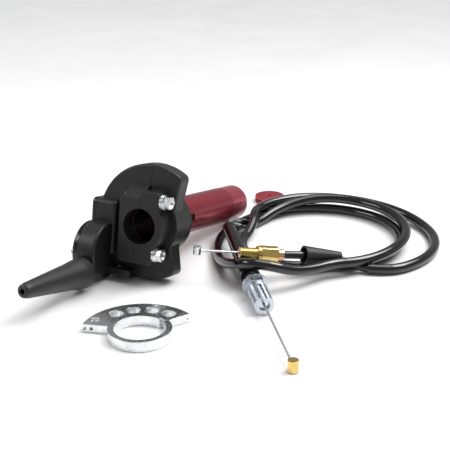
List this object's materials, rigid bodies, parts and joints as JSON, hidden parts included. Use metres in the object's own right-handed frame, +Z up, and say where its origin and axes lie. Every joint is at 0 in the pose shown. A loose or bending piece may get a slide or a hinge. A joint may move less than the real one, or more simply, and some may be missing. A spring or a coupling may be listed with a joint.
{
  "type": "quick-action throttle grip kit",
  "caption": "Motorcycle quick-action throttle: split bar clamp and cable housing, anodised grip tube, spare cable cam, tube end cap and sleeved throttle cable.",
  "frame": {"origin": "bottom centre of the bounding box of everything but the cable, on the bench", "axes": "+X along the handlebar seen from above, towards the open end of the grip tube; +Y to its left; +Z up. The bar axis itself slopes down 10.86 degrees towards +X because the tube end rests on the bench."},
  "size_m": [0.2847, 0.1941, 0.0729],
  "materials": {
    "black_nylon": "moulded, fine matte grain",
    "black_gloss": "smooth gloss",
    "bolt_steel": "bright zinc plate",
    "insert_brass": "turned",
    "pulley_acetal": "machined",
    "bush_bronze": "sintered",
    "turned_steel": "turned",
    "black_rubber": "soft matte",
    "red_anodised": "red anodised, satin",
    "bare_aluminium": "brushed and lightly polished",
    "cable_sleeve": "glossy extruded sleeve",
    "cable_casing": "satin",
    "brass": "turned, clean",
    "copper_brass": "satin",
    "zinc": "blue zinc plate",
    "bright_pipe": "plated, bright",
    "steel_strand": "stranded wire"
  },
  "bodies": {
    "housing": {"housing_body": "black_nylon", "clamp_half": "black_nylon", "clamp_bolts": "bolt_steel", "clamp_washers": "bolt_steel", "thread_inserts": "insert_brass", "pulley_axle": "turned_steel", "pulley_cover": "black_gloss", "cover_screws": "turned_steel", "cable_outlet": "turned_steel", "cable_boot": "black_rubber", "tube_bush": "black_nylon", "thrust_washer": "pulley_acetal", "dust_collar": "black_nylon"},
    "twist_tube": {"throttle_tube": "red_anodised", "cable_cam": "bare_aluminium", "cam_retainer": "turned_steel"},
    "pulley": {"cable_pulley": "pulley_acetal", "pulley_bush": "bush_bronze"},
    "loose_cam": {"spare_cam": "bare_aluminium"},
    "end_cap": {"tube_end_cap": "red_anodised", "end_cap_o_ring": "black_rubber"},
    "cable": {"cable_coil": "cable_sleeve", "loop_strand_outer": "cable_sleeve", "loop_strand_inner": "cable_sleeve", "sleeve_start": "cable_sleeve", "thin_casing": "cable_casing", "elbow_pipe": "bright_pipe", "brass_adjuster": "brass", "adjuster_hex": "brass", "casing_ferrule": "copper_brass", "adjuster_boot": "black_rubber", "elbow_ring": "black_rubber", "carb_boot": "black_rubber", "adjuster_neck": "zinc", "carb_lock_nut": "zinc", "carb_washer": "zinc", "carb_barrel": "zinc"},
    "wire_throttle_end": {"throttle_wire": "steel_strand", "throttle_nipple": "brass"},
    "wire_carburettor_end": {"carb_wire": "steel_strand", "carb_nipple": "brass"}
  },
  "joints": [
    {"name": "tube_twist", "type": "hinge", "parent": "housing", "child": "twist_tube", "pos_m": [0.0145, 0.0084, 0.02467], "axis": [0.9821, 0, -0.1884], "range_deg": [0, 80]},
    {"name": "pulley_spin", "type": "hinge", "parent": "housing", "child": "pulley", "pos_m": [-0.05268, 0.0366, 0.01577], "axis": [0, -1, 0], "range_deg": [0, 245]},
    {"name": "spare_cam_lift", "type": "slide", "parent": "housing", "child": "loose_cam", "axis": [0, 0, 1], "range_m": [0, 0.09]},
    {"name": "end_cap_lift", "type": "slide", "parent": "housing", "child": "end_cap", "axis": [0, 0, 1], "range_m": [0, 0.09]},
    {"name": "cable_lift", "type": "slide", "parent": "housing", "child": "cable", "axis": [0, -0.8, 0.6], "range_m": [0, 0.1]},
    {"name": "throttle_wire_pull", "type": "slide", "parent": "cable", "child": "wire_throttle_end", "axis": [-0.6345, 0.7579, 0.1516], "range_m": [0, 0.02]},
    {"name": "carburettor_wire_draw", "type": "slide", "parent": "cable", "child": "wire_carburettor_end", "axis": [0.7993, 0.5995, 0.0423], "range_m": [0, 0.02]}
  ],
  "couplings": [
    {"joint": "pulley_spin", "follows": "tube_twist", "ratio": 2.8724},
    {"joint": "carburettor_wire_draw", "follows": "throttle_wire_pull", "ratio": 1}
  ]
}
